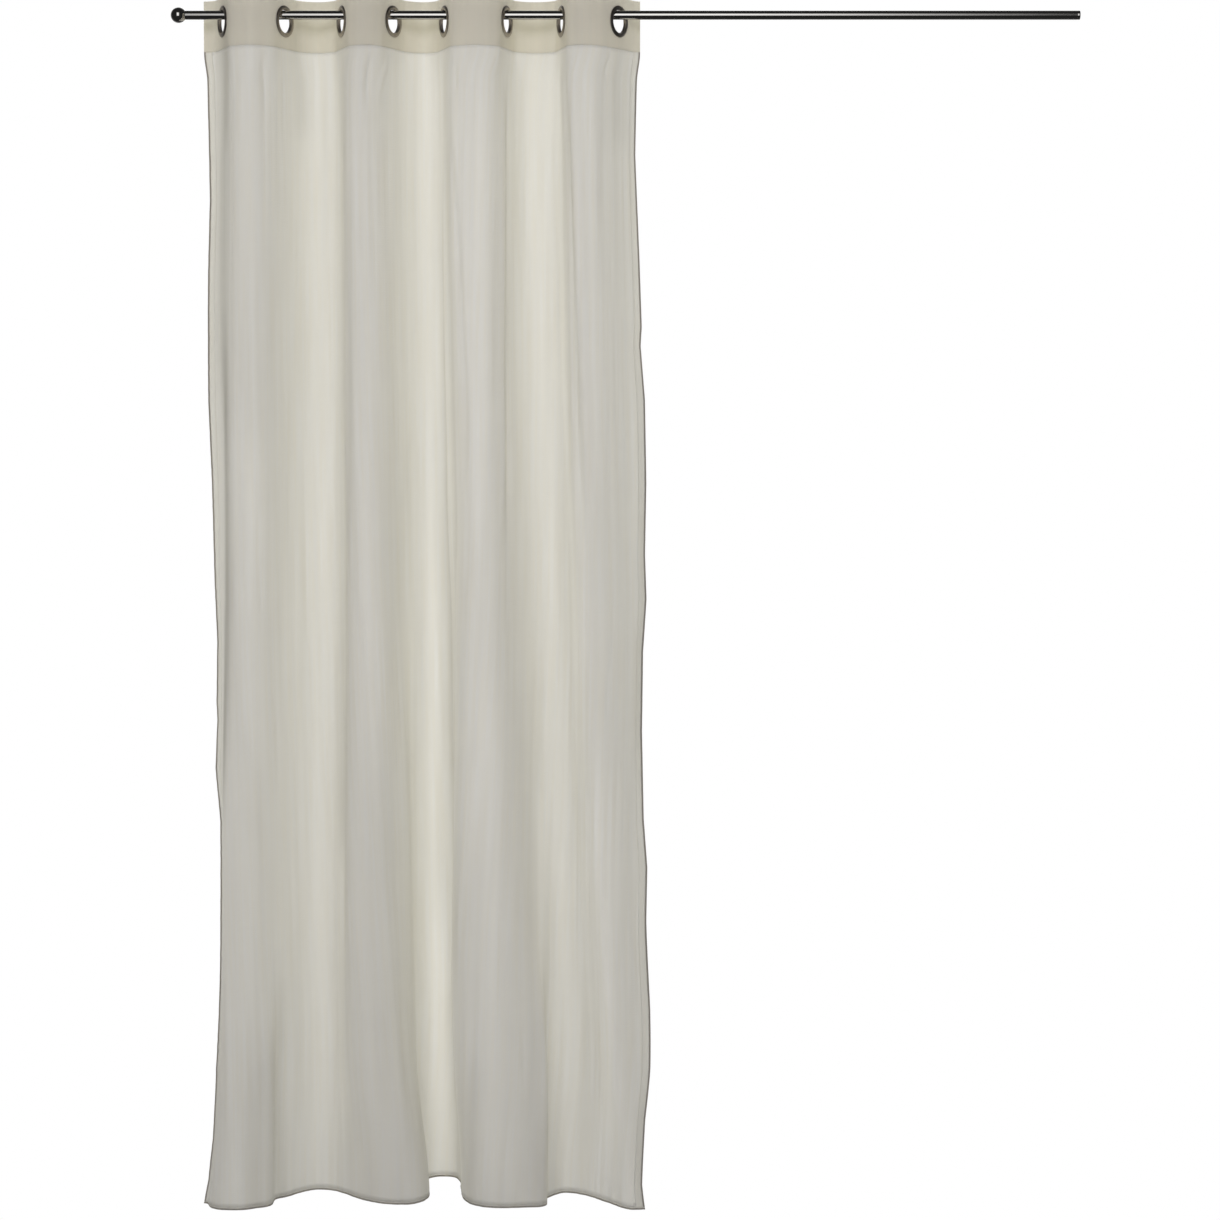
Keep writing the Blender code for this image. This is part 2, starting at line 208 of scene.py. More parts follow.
def plan_at(z):
    """The cloth's plan at height z, its folds just deep enough to take up the cloth's width."""
    crest_x = at_level(CREST_X, LEVEL_Z, z)
    crest_y = at_level(CREST_Y, LEVEL_Z, z)
    breadth = at_level(CREST_BREADTH, BREADTH_Z, z)
    shallow, deep = LEAST_DEPTH, MOST_DEPTH
    for _ in range(HALVINGS):
        depth = 0.5 * (shallow + deep)
        run = walls_through(crest_x, crest_y * depth, breadth)
        if lengths_along(run)[-1] < CLOTH_WIDTH:
            shallow = depth
        else:
            deep = depth
    return run


def point_on(run, along):
    """Points this far along the cloth from its left edge."""
    lengths = lengths_along(run)
    along = np.asarray(along) * lengths[-1] / CLOTH_WIDTH
    return np.stack([np.interp(along, lengths, run[:, i]) for i in (0, 1)], axis=-1)


def find_eyelets():
    """Where each wall of the heading crosses the rod: (distance along the cloth, place, direction)."""
    run = plan_at(BAND_FOOT_Z)
    lengths = lengths_along(run)
    found = []
    for wall in range(EYELETS):
        i = wall * WALL_SAMPLES
        part = slice(i, i + WALL_SAMPLES + 1)
        order = 1 if run[i + WALL_SAMPLES, 1] > run[i, 1] else -1
        along = float(np.interp(0.0, run[part, 1][::order], lengths[part][::order]))
        before, after = point_on(run, [along - FLAT_HALF / 2, along + FLAT_HALF / 2])
        direction = (after - before) / np.linalg.norm(after - before)
        found.append((along, point_on(run, along), direction))
    return found


EYELET_FLATS = find_eyelets()


def pressed_plan(along, z):
    """The plan at height z, flat where the eyelets clamp the cloth."""
    points = point_on(plan_at(z), along)
    hold = smooth((z - RELEASE_Z) / (BAND_FOOT_Z - RELEASE_Z))
    for centre_along, place, direction in EYELET_FLATS:
        across = np.array([direction[1], -direction[0]])
        reach = np.abs(along - centre_along)
        grip = hold * (1.0 - smooth((reach - FLAT_HALF) / FLAT_FADE))
        points = points - (grip * ((points - place) @ across))[:, None] * across
    return points


PLAN_ALONG = np.linspace(0.0, CLOTH_WIDTH, PLAN_COLUMNS)
PLAN_Z = np.arange(HEM_Z, BAND_FOOT_Z + PLAN_STEP_Z, PLAN_STEP_Z)
PLANS = np.array([pressed_plan(PLAN_ALONG, z) for z in PLAN_Z])


def look_up(table, along, z):
    """Values of a table laid over the cloth, between its rows and columns."""
    column = np.clip(along / CLOTH_WIDTH, 0.0, 1.0) * (PLAN_COLUMNS - 1)
    row = np.clip((z - HEM_Z) / PLAN_STEP_Z, 0.0, len(PLAN_Z) - 1.0)
    c = np.minimum(column.astype(int), PLAN_COLUMNS - 2)
    r = np.minimum(row.astype(int), len(PLAN_Z) - 2)
    u, v = (column - c)[:, None], (row - r)[:, None]
    low = table[r, c] * (1 - u) + table[r, c + 1] * u
    high = table[r + 1, c] * (1 - u) + table[r + 1, c + 1] * u
    return low * (1 - v) + high * v


# ---------------------------------------------------------------- creases, crinkles and painted shade
CREASE_FADE = 0.25  # share of its course over which a crease fades out at each end
# Soft troughs placed in the cloth: half of each one's width, its depth, and the places its
# course passes, each along the cloth and in height, all in metres. Less than nothing is a ridge.
CREASES = {
    "left_strip_twin": (0.004, 0.0020, ((0.123, -0.070), (0.121, -0.380), (0.112, -0.700))),
    "left_wall_branch": (0.005, 0.0026, ((0.445, -1.090), (0.481, -1.176), (0.499, -1.236),
                                         (0.503, -1.330))),
    "middle_sweep": (0.007, 0.0034, ((0.806, -0.130), (0.842, -0.300), (0.857, -0.440),
                                     (0.868, -0.600), (0.880, -0.780), (0.884, -0.960))),
    "right_kink": (0.005, 0.0026, ((1.309, -1.150), (1.307, -1.290), (1.298, -1.370),
                                   (1.302, -1.460))),
    "foot_wrinkle": (0.006, 0.0024, ((1.046, -2.070), (1.053, -2.150), (1.058, -2.230))),
    "pucker_1": (0.006, 0.0034, ((0.542, -0.070), (0.538, -0.130), (0.531, -0.190))),
    "pucker_2": (0.007, -0.0030, ((0.590, -0.085), (0.570, -0.145), (0.545, -0.190))),
    "pucker_3": (0.005, 0.0028, ((0.838, -0.095), (0.846, -0.130), (0.849, -0.165))),
    "pucker_4": (0.006, 0.0032, ((1.305, -0.062), (1.298, -0.130))),
    "pucker_5": (0.006, 0.0022, ((0.190, -0.080), (0.198, -0.150), (0.203, -0.210))),
    "pucker_6": (0.004, 0.0022, ((0.104, -0.060), (0.106, -0.160))),
    "press_1": (0.003, 0.0012, ((0.160, -1.880), (0.212, -1.886))),
    "press_2": (0.003, 0.0014, ((0.345, -1.986), (0.460, -1.980))),
    "press_3": (0.003, 0.0014, ((0.540, -1.781), (0.600, -1.783))),
    "press_4": (0.003, 0.0012, ((0.430, -2.124), (0.485, -2.127))),
}
# Walls between folds that lean over, so that the cloth lies three deep along a dark line: half the
# width, how far it leans, and the line's course. A wall that faces left leans less than nothing.
LEANS = {
    "left_wall": (0.020, -0.0030, ((0.440, -0.070), (0.450, -0.380), (0.445, -0.780), (0.440, -1.200),
                                   (0.425, -1.600), (0.405, -2.000), (0.400, -2.330))),
    "middle_wall": (0.014, -0.0040, ((0.768, -0.070), (0.762, -0.580), (0.762, -1.000),
                                     (0.765, -1.600), (0.780, -2.000))),
    "middle_low": (0.040, -0.0070, ((0.818, -1.000), (0.826, -1.600), (0.832, -2.200))),
    "right_wall": (0.011, 0.0050, ((0.965, -0.070), (0.980, -0.220), (0.981, -0.420),
                                   (0.977, -0.800), (0.976, -1.130))),
    "right_sweep": (0.012, -0.0060, ((1.195, -0.070), (1.217, -0.230), (1.230, -0.520),
                                     (1.239, -0.790), (1.246, -0.980), (1.256, -1.150))),
    "back_fold_side": (0.034, 0.0080, ((0.640, -1.200), (0.640, -1.800), (0.632, -2.900))),
    "foot_left": (0.020, 0.0100, ((0.172, -2.000), (0.180, -2.260), (0.181, -2.850))),
    "foot_right": (0.020, 0.0130, ((1.106, -1.900), (1.112, -2.100), (1.122, -2.280), (1.124, -2.900))),
}
# How far each side edge is drawn to the viewer's right, at these heights
EDGE_Z = (-0.17, -0.37, -0.55, -0.78, -0.95, -1.15, -1.28, -1.40, -1.44, -1.54, -1.65, -1.85, -2.16,
          -2.30, -2.38, HEM_Z)
LEFT_EDGE = (0.000, 0.005, 0.001, -0.003, 0.000, 0.000, 0.003, -0.001, 0.000, -0.006, 0.002, 0.000,
             0.000, 0.008, 0.006, -0.002)
RIGHT_EDGE_Z = (-0.08, -0.28, -0.48, -0.63, -0.67, -0.78, -0.95, -1.10, -1.19, -1.30, -1.46, -1.64,
                -1.74, -1.85, -2.03, -2.15, -2.25, -2.38, HEM_Z)
RIGHT_EDGE = (0.001, -0.005, 0.000, 0.003, 0.000, 0.007, 0.007, 0.002, 0.004, -0.004, -0.007, -0.004,
              0.003, 0.000, 0.003, 0.002, -0.004, -0.003, 0.004)
EDGE_REACH = 0.050  # how far into the cloth an edge's pull is felt
# Lines along which the cloth's colour is painted darker or paler than its folds alone make it: painted
# shade along the first table and painted light along the second. They stand in for layers that show
# through one another, and for light and shade on a fold that the studio doesn't give. Each has half its
# width, how much darker or paler it paints, and its course.
PAINTED_SHADE_ATTRIBUTE = "yarn_streaks_and_painted_shade"
EVEN = 0.20  # the level of the cloth's painted shade away from every line
PAINTED_SHADE_LINES = {
    "left_edge_fold": (0.046, 0.36, ((0.088, 0.25), (0.080, -0.20), (0.076, -0.40), (0.074, -0.64),
                                     (0.085, -0.92))),
    "left_neck": (0.020, 0.16, ((0.100, 0.05), (0.098, -0.12), (0.095, -0.30))),
    "left_edge_line": (0.019, 0.55, ((0.085, -0.55), (0.090, -0.78), (0.096, -1.00), (0.097, -1.18),
                                     (0.085, -1.36), (0.062, -1.56), (0.040, -1.75))),
    "left_foot": (0.035, 0.12, ((0.020, -1.80), (0.045, -2.20), (0.038, -2.80))),
    "front_1_foot": (0.034, 0.17, ((0.135, -2.00), (0.138, -2.29), (0.140, -2.75))),
    "foot_left_wall": (0.015, 0.22, ((0.203, -1.90), (0.205, -2.20), (0.212, -2.43), (0.214, -2.90))),
    "back_1_neck": (0.025, 0.14, ((0.307, 0.05), (0.307, -0.12), (0.307, -0.28))),
    "back_1_middle": (0.013, 0.07, ((0.364, 0.04), (0.356, -0.57), (0.342, -1.11))),
    "left_wall_line": (0.007, 0.12, ((0.496, -0.30), (0.489, -0.68), (0.479, -0.94), (0.465, -1.19))),
    "middle_line": (0.014, 0.18, ((0.752, -0.20), (0.752, -0.64), (0.752, -0.99), (0.751, -1.24),
                                  (0.750, -1.51), (0.748, -1.90))),
    "middle_sweep_line": (0.008, 0.08, ((0.822, -0.15), (0.856, -0.44), (0.870, -0.64),
                                        (0.881, -0.82), (0.884, -1.06))),
    "front_3_line": (0.007, 0.14, ((0.981, 0.03), (0.995, -0.37), (0.992, -0.64), (0.979, -0.98))),
    "front_3_shade": (0.016, 0.08, ((0.908, -0.95), (0.914, -1.30), (0.918, -1.65))),
    "front_3_right_low": (0.018, 0.10, ((1.078, -1.95), (1.080, -2.17), (1.086, -2.50))),
    "front_3_foot": (0.022, 0.14, ((0.945, -2.05), (0.951, -2.29), (0.955, -2.70))),
    "right_sweep_line": (0.007, 0.09, ((1.191, -0.01), (1.218, -0.24), (1.230, -0.52),
                                       (1.239, -0.78), (1.245, -1.02))),
    "right_neck": (0.050, 0.10, ((1.345, 0.05), (1.345, -0.12), (1.345, -0.30))),
    "right_edge_side": (0.055, 0.10, ((1.337, 0.40), (1.340, -0.58), (1.337, -1.11), (1.350, -2.60))),
    "right_edge_low": (0.012, 0.16, ((1.395, -0.58), (1.393, -1.60), (1.393, -2.82))),
}
PAINTED_LIGHT_LINES = {
    "front_1_side": (0.022, 0.12, ((0.165, -0.75), (0.164, -1.23), (0.165, -1.65))),
    "low_left_wall": (0.028, 0.24, ((0.390, -1.60), (0.387, -1.91), (0.378, -2.12), (0.368, -2.36))),
    "front_2_face": (0.036, 0.12, ((0.551, 0.10), (0.550, -0.58), (0.524, -1.23), (0.500, -1.70))),
    "back_2_left_low": (0.018, 0.12, ((0.652, -0.99), (0.648, -1.61), (0.640, -2.04),
                                      (0.620, -2.39))),
    "back_2_middle": (0.014, 0.12, ((0.712, -0.80), (0.711, -1.24), (0.706, -1.85), (0.702, -2.90))),
    "back_2_foot": (0.022, 0.18, ((0.720, -1.75), (0.716, -2.09), (0.735, -2.31), (0.743, -2.90))),
    "middle_line_side": (0.028, 0.17, ((0.745, 0.20), (0.760, -0.15), (0.784, -0.47), (0.786, -0.74),
                                       (0.786, -1.03), (0.790, -1.30))),
    "middle_wall_side": (0.026, 0.18, ((0.850, 0.20), (0.856, -0.48), (0.858, -0.98), (0.846, -1.20),
                                       (0.846, -1.70), (0.846, -2.20))),
    "front_3_edge_low": (0.012, 0.18, ((0.868, -1.75), (0.882, -2.00), (0.886, -2.15), (0.889, -2.30),
                                       (0.890, -2.80))),
    "front_3_face": (0.028, 0.19, ((0.909, 0.10), (0.910, -0.58), (0.918, -1.25), (0.925, -1.90))),
    "front_3_low": (0.025, 0.12, ((0.943, -1.23), (0.973, -1.80), (0.998, -2.52))),
    "right_wall_side": (0.027, 0.22, ((1.112, 0.20), (1.152, -0.37), (1.156, -0.74), (1.185, -0.98),
                                      (1.202, -1.23), (1.215, -1.64))),
    "foot_right_line": (0.016, 0.16, ((1.104, -1.50), (1.104, -1.85), (1.096, -2.12), (1.095, -2.35))),
    "right_sweep_side": (0.022, 0.10, ((1.225, 0.10), (1.232, -0.58), (1.235, -1.23), (1.232, -1.85),
                                       (1.235, -2.30))),
    "right_fold_side": (0.011, 0.12, ((1.249, 0.11), (1.263, -0.38), (1.265, -0.68), (1.265, -1.10))),
    "right_hem_low": (0.010, 0.14, ((1.388, -1.40), (1.386, -1.85), (1.388, -2.30))),
    "front_4_low": (0.032, 0.14, ((1.281, -1.39), (1.302, -1.90), (1.300, -2.53))),
}
# Random unevenness, one layer on another: how wide and how tall its ripples are, and its seed
FINE_RIPPLES = (0.009, 0.16, 11)
SOFT_RIPPLES = (0.022, 0.30, 12)
BROAD_RIPPLES = (0.070, 0.55, 13)
GATHERS = (0.011, 0.06, 14)
SIDE_PUCKERS = (0.4, 0.011, 15)
HEADING_RIPPLES = (0.040, 0.20, 16)
FOOT_PUCKERS = (0.012, 0.4, 17)
YARN_STREAKS = (0.010, 0.35, 18)
# How far each layer stands out, and how much further where the cloth is crumpled, on its right
FINE_RISE = (0.00040, 0.00055)
SOFT_RISE = (0.0006, 0.0005)
BROAD_RISE, GATHER_RISE, HEADING_RISE = 0.0016, 0.0005, 0.0007
SIDE_PUCKER_RISE, FOOT_PUCKER_RISE = 0.0008, 0.0005
STREAK_DENSITY = 0.04
# Where each starts, and the distance over which it grows or fades
CRUMPLED_FROM, CRUMPLED_OVER = 1.02, 0.20
LOOSE_FROM, LOOSE_OVER = 0.002, 0.05  # above the heading's foot, and down from there
GATHER_REACH = 0.045  # below the heading's foot
CLAMP_FADE = 0.014  # outside an eyelet's rim
PUCKER_FROM, PUCKER_OVER = 0.02, 0.03  # below the heading's foot, and down from there
SIDE_PUCKER_OVER, FOOT_PUCKER_OVER = 0.006, 0.004  # from a hem's inner edge outwards


def ripple(along, z, wide, tall, seed):
    """Smooth random ripples from -1 to 1, about as wide and as tall as given."""
    random = np.random.default_rng(seed)
    columns = int(CLOTH_WIDTH / wide) + 3
    rows = int((TOP_Z - HEM_Z) / tall) + 3
    knots = random.uniform(-1.0, 1.0, (rows, columns))
    column, row = np.clip(along / wide, 0, columns - 2), np.clip((z - HEM_Z) / tall, 0, rows - 2)
    c, r = column.astype(int), row.astype(int)
    u, v = smooth(column - c), smooth(row - r)
    low = knots[r, c] * (1 - u) + knots[r, c + 1] * u
    high = knots[r + 1, c] * (1 - u) + knots[r + 1, c + 1] * u
    return low * (1 - v) + high * v


def fading_ends(share):
    """1 in the middle of a course, and 0 at both its ends, at this share of its length."""
    return smooth(share / CREASE_FADE) * smooth((1.0 - share) / CREASE_FADE)


def crease(along, z, half, depth, course):
    """How deep one soft trough is at each point, or how strong a line of painted shade or painted
    light is. It fades out sideways and towards both its ends."""
    points, course = np.stack([along, z], axis=-1), np.array(course)
    passed = lengths_along(course)
    nearest, share = np.full(len(points), np.inf), np.zeros(len(points))
    for start, end, before, after in zip(course, course[1:], passed, passed[1:]):
        t = np.clip((points - start) @ (end - start) / (after - before) ** 2, 0.0, 1.0)
        off = np.linalg.norm(points - start - t[:, None] * (end - start), axis=1)
        share = np.where(off < nearest, (before + t * (after - before)) / passed[-1], share)
        nearest = np.minimum(off, nearest)
    return depth * fading_ends(share) * np.exp(-((nearest / half) ** 2))


def lean(along, z, half, reach, course):
    """How far the cloth stands back where a wall leans over its course: forward on one side of it
    and back on the other."""
    course = np.array(course)
    off = (along - np.interp(-z, -course[:, 1], course[:, 0])) / half
    share = (course[0, 1] - z) / (course[0, 1] - course[-1, 1])
    return reach * fading_ends(share) * off * np.exp(0.5 * (1.0 - off**2))


def painted_shade_and_streaks(along, z):
    """How dark the cloth's colour is painted: EVEN, with random yarn streaks, where it hangs free, more
    along the lines of painted shade and less along those of painted light, and never below 0 or above 1."""
    made = EVEN + STREAK_DENSITY * ripple(along, z, *YARN_STREAKS)
    for lines, sign in ((PAINTED_SHADE_LINES, 1.0), (PAINTED_LIGHT_LINES, -1.0)):
        for half, change, course in lines.values():
            made = made + sign * crease(along, z, half, change, course)
    return np.clip(made, 0.0, 1.0)


def edge_pull(along, z):
    """How far the side edges are drawn sideways."""
    left = np.interp(-z, -np.array(EDGE_Z), LEFT_EDGE) * smooth(1.0 - along / EDGE_REACH)
    right = np.interp(-z, -np.array(RIGHT_EDGE_Z), RIGHT_EDGE)
    return left + right * smooth(1.0 - (CLOTH_WIDTH - along) / EDGE_REACH)


def clamped(along):
    """1 where an eyelet clamps the heading and 0 between eyelets."""
    reach = np.min([np.abs(along - centre) for centre, _, _ in EYELET_FLATS], axis=0)
    return 1.0 - smooth((reach - RIM_R) / CLAMP_FADE)


def relief(along, z):
    """How far the cloth stands back from its folds' plan, in metres."""
    crumpled = smooth((along - CRUMPLED_FROM) / CRUMPLED_OVER)
    loose = smooth((BAND_FOOT_Z + LOOSE_FROM - z) / LOOSE_OVER)
    back = (FINE_RISE[0] + FINE_RISE[1] * crumpled) * ripple(along, z, *FINE_RIPPLES)
    back = back + (SOFT_RISE[0] + SOFT_RISE[1] * crumpled) * ripple(along, z, *SOFT_RIPPLES)
    back = back + BROAD_RISE * ripple(along, z, *BROAD_RIPPLES)
    gathered = np.exp(-(((BAND_FOOT_Z - z) / GATHER_REACH) ** 2))
    back = back + GATHER_RISE * gathered * ripple(along, z, *GATHERS)
    for crease_sizes in CREASES.values():
        back = back + crease(along, z, *crease_sizes)
    for lean_sizes in LEANS.values():
        back = back + lean(along, z, *lean_sizes)
    held = HEADING_RISE * (1.0 - loose) * (1.0 - clamped(along))
    return back * loose + held * ripple(along, z, *HEADING_RIPPLES)


def hem_pucker(along, z):
    """The small waves that stitching draws up along the edges of the rolled hems."""
    inward = np.minimum(along, CLOTH_WIDTH - along)
    side = smooth((SIDE_HEM - HEM_OVERLAP - inward) / SIDE_PUCKER_OVER)
    foot = smooth((HEM_Z + BOTTOM_HEM - HEM_OVERLAP - z) / FOOT_PUCKER_OVER)
    loose = smooth((BAND_FOOT_Z - PUCKER_FROM - z) / PUCKER_OVER)
    up_the_side = SIDE_PUCKER_RISE * side * ripple(along, z, *SIDE_PUCKERS)
    along_the_foot = FOOT_PUCKER_RISE * foot * (1.0 - side) * ripple(along, z, *FOOT_PUCKERS)
    return loose * (up_the_side + along_the_foot)


# ---------------------------------------------------------------- from flat cloth to hanging cloth
def hang(mesh, pucker=None):
    """Hangs a mesh that is laid out flat: X along the cloth, Y behind its middle, Z its height."""
    count = len(mesh.vertices)
    flat = np.empty(count * 3, np.float32)
    mesh.vertices.foreach_get("co", flat)
    flat = flat.reshape(-1, 3).astype(float)
    along, behind, z = flat.T
    place = look_up(PLANS, along, z)
    ahead = look_up(PLANS, along + READ_AHEAD, z) - look_up(PLANS, along - READ_AHEAD, z)
    ahead = ahead / np.linalg.norm(ahead, axis=1)[:, None]
    back = np.stack([-ahead[:, 1], ahead[:, 0]], axis=1)
    beyond = along - np.clip(along, 0.0, CLOTH_WIDTH)
    place = place + beyond[:, None] * ahead
    behind = behind + relief(along, z)
    if pucker:
        behind = behind + pucker(along, z)
    place = place + behind[:, None] * back
    place[:, 0] += edge_pull(along, z)
    hung = np.column_stack([place, z]).astype(np.float32)
    mesh.vertices.foreach_set("co", hung.ravel())
    # The cloth's painted shade and painted light, with its random yarn streaks, kept on its points: the
    # materials darken the cloth's colour by it
    drawn = mesh.attributes.new(PAINTED_SHADE_ATTRIBUTE, "FLOAT", "POINT")
    drawn.data.foreach_set("value", painted_shade_and_streaks(along, z).astype(np.float32))
    mesh.update()


def unwrap(bm):
    """Gives flat cloth its UV map, in metres along and up the cloth."""
    uv = bm.loops.layers.uv.new("UVMap")
    for face in bm.faces:
        for loop in face.loops:
            loop[uv].uv = (loop.vert.co.x, loop.vert.co.z)


def object_from(bm, name):
    """A new object in the scene, with what the bmesh holds as its mesh."""
    mesh = bpy.data.meshes.new(name)
    bm.to_mesh(mesh)
    bm.free()
    made = bpy.data.objects.new(name, mesh)
    bpy.context.scene.collection.objects.link(made)
    return made


def piece_from(bm, name, finish, sharp_angle=None):
    """A new piece, riding on the part's one body."""
    made = object_from(bm, name)
    made.data.materials.append(finish)
    made.data.shade_smooth()
    if sharp_angle:
        made.data.set_sharp_from_angle(angle=math.radians(sharp_angle))
    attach(made, "root")
    return made


# ---------------------------------------------------------------- materials
def linear(hex_colour):
    """The linear RGBA of an sRGB colour written as six hex digits."""
    channels = [int(hex_colour[i : i + 2], 16) / 255 for i in (0, 2, 4)]
    return [c / 12.92 if c <= 0.04045 else ((c + 0.055) / 1.055) ** 2.4 for c in channels] + [1.0]


def node(tree, kind, inputs=(), stops=(), **settings):
    """Adds a node. inputs are (input, the socket that feeds it or the value it has), and stops are
    the (position, sRGB hex) of a ramp of colours. A setting that the node itself has is set there,
    and any other is the value of the input of that name."""
    made = tree.nodes.new(kind)
    for name, value in settings.items():
        if hasattr(made, name):
            setattr(made, name, value)
        else:
            made.inputs[name.replace("_", " ")].default_value = value
    for name, given in inputs:
        if isinstance(given, bpy.types.NodeSocket):
            tree.links.new(given, made.inputs[name])
        else:
            made.inputs[name].default_value = given
    for k, (position, hex_colour) in enumerate(stops):
        made.color_ramp.elements[k].position = position
        made.color_ramp.elements[k].color = linear(hex_colour)
    return made


def blotches(tree, coordinates, sizes, detail=2.0):
    """Noise whose blotches have these sizes in metres along the three axes of the coordinates."""
    scales = [1.0 / size for size in sizes]
    scaled = node(tree, "ShaderNodeMapping", [("Vector", coordinates)], Scale=scales)
    vector = scaled.outputs["Vector"]
    return node(tree, "ShaderNodeTexNoise", [("Vector", vector)], Scale=1.0, Detail=detail)


def new_material(name):
    made = bpy.data.materials.new(name)
    made.use_nodes = True
    made.node_tree.nodes.clear()
    return made, made.node_tree


NOISE_LOW, NOISE_HIGH = 0.35, 0.65  # the noise at which a finish has its first and second colour


def voile(name, face, glow, through):
    """Plain-woven voile of slubbed yarn: its face is soft and matt, light from behind soaks
    through it and comes out warmer, and thick and thin yarns draw faint upright streaks on it.
    face and glow are the (thin, thick) yarn's sRGB hex by reflected light and by light from behind."""
    made, tree = new_material(name)
    uv = node(tree, "ShaderNodeUVMap").outputs["UV"]
    # Painted shade and painted light: the value kept on the cloth's points, which also holds its random
    # yarn streaks, darkens both colours below towards the deepest painted shade
    drawn = node(tree, "ShaderNodeAttribute", attribute_name=PAINTED_SHADE_ATTRIBUTE).outputs["Fac"]
    stops = ((0.0, "FFFFFF"), (1.0, DEEPEST_PAINTED_SHADE_HEX))
    shade = node(tree, "ShaderNodeValToRGB", [("Fac", drawn)], stops).outputs["Color"]
    # Yarns of uneven thickness, 3 to 6 mm apart and running for 25 cm
    warp = blotches(tree, uv, (0.0045, 0.250, 1.0), detail=3.0).outputs["Fac"]
    # The real threads lie 0.35 mm apart, too fine to show, so these are 1.5 mm
    weft = blotches(tree, uv, (0.070, 0.0015, 1.0)).outputs["Fac"]
    yarns = node(tree, "ShaderNodeMath", [(0, warp), (1, weft)], operation="ADD").outputs["Value"]
    bump = node(tree, "ShaderNodeBump", [("Height", yarns)], Strength=0.5, Distance=0.0005)
    normal = bump.outputs["Normal"]
    dyed = []
    for thin, thick in (face, glow):
        stops = ((NOISE_LOW, thin), (NOISE_HIGH, thick))
        yarn = node(tree, "ShaderNodeValToRGB", [("Fac", warp)], stops).outputs["Color"]
        # Multiplied in full: 0 is the share, and 6 and 7 are the two colours
        mix = [(0, 1.0), (6, yarn), (7, shade)]
        shaded = node(tree, "ShaderNodeMix", mix, data_type="RGBA", blend_type="MULTIPLY")
        dyed.append(shaded.outputs[2])
    face_colour, glow_colour = dyed
    reflected = node(
        tree,
        "ShaderNodeBsdfPrincipled",
        [("Base Color", face_colour), ("Normal", normal)],
        Roughness=0.9,
        Specular_IOR_Level=0.2,
        Sheen_Weight=0.1,
        Sheen_Roughness=0.5,
    )
    soaked = node(tree, "ShaderNodeBsdfTranslucent", [("Color", glow_colour), ("Normal", normal)])
    mixed = node(
        tree,
        "ShaderNodeMixShader",
        [(1, reflected.outputs["BSDF"]), (2, soaked.outputs["BSDF"])],
        Fac=through,
    )
    node(tree, "ShaderNodeOutputMaterial", [("Surface", mixed.outputs["Shader"])])
    return made


def solid_finish(name, grain, dark_hex, pale_hex, roughness, spread, depth, metallic):
    """A finish whose colour, roughness and surface vary along its grain, which is the size of its
    marks along X, Y and Z in metres."""
    made, tree = new_material(name)
    place = node(tree, "ShaderNodeTexCoord").outputs["Object"]
    marks = blotches(tree, place, grain, detail=3.0).outputs["Fac"]
    rough = node(
        tree,
        "ShaderNodeMapRange",
        [("Value", marks)],
        From_Min=0.3,
        From_Max=0.7,
        To_Min=roughness - spread,
        To_Max=roughness + spread,
    )
    bump = node(tree, "ShaderNodeBump", [("Height", marks)], Strength=0.4, Distance=depth)
    stops = ((NOISE_LOW, dark_hex), (NOISE_HIGH, pale_hex))
    colour = node(tree, "ShaderNodeValToRGB", [("Fac", marks)], stops).outputs["Color"]
    shader = node(
        tree,
        "ShaderNodeBsdfPrincipled",
        [
            ("Base Color", colour),
            ("Roughness", rough.outputs["Result"]),
            ("Normal", bump.outputs["Normal"]),
        ],
        Metallic=metallic,
    )
    node(tree, "ShaderNodeOutputMaterial", [("Surface", shader.outputs["BSDF"])])
    return made


DEEPEST_PAINTED_SHADE_HEX = "D3D2CD"  # what the cloth's colour is multiplied by where its painted shade is deepest
# One layer: the palest, and most of what reaches the eye has come through from behind
SINGLE_VOILE = voile("polyester voile, plain woven", ("E8E8EC", "F8F7FA"), ("FFFEF6", "F7F5E9"), 0.65)
# Two layers: less light comes through, so the heading is darker and warmer than the panel
DOUBLED_VOILE = voile("polyester voile, folded double", ("E6E2DC", "F4EFE9"), ("FCFAEB", "F4F1E0"), 0.55)
# A hem's turned layers: a shade darker than the panel beside them
TURNED_VOILE = voile("polyester voile, hem turned", ("E6E6E9", "F6F5F7"), ("FCFBF2", "F4F2E6"), 0.65)
# Several turns of cloth along each edge: they show as a thin, darker line
ROLLED_VOILE = voile("polyester voile, edge rolled tight", ("C6C2B8", "D4D0C6"), ("C6C1B0", "D0CBBA"), 0.50)
# Twisted thread of the cloth's own yarn: matt, and it lets light through as the cloth does
SEWING_THREAD = voile("polyester thread, spun", ("F2EFEE", "FCFAF8"), ("FFFDF8", "FBF9F2"), 0.70)
# Steel tube, drawn and brushed along its length: its light spreads into one long soft streak
BRUSHED_STEEL = solid_finish(
    "steel, brushed lengthwise", (0.30, 0.0008, 0.0008), "BDBBB8", "C4C2BF", 0.11, 0.01, 0.000001, 1.0
)
# Pressed brass, plated with dark nickel and polished: smooth and dark, with small sharp glints
DARK_NICKEL = solid_finish(
    "dark nickel plate, polished", (0.015, 0.015, 0.015), "A39C94", "AFA8A0", 0.36, 0.04, 0.00001, 1.0
)


# ---------------------------------------------------------------- the cloth's pieces
def flat_grid(bm, left, right, heights, columns):
    """A flat grid of cloth that faces the viewer, with a row of points at each height."""
    bmesh.ops.create_grid(bm, x_segments=columns, y_segments=len(heights) - 1, size=0.5)
    rows = np.arange(len(heights)) / (len(heights) - 1)
    for vert in bm.verts:
        across, up = vert.co.x + 0.5, vert.co.y + 0.5
        vert.co = (left + (right - left) * across, 0.0, float(np.interp(up, rows, heights)))


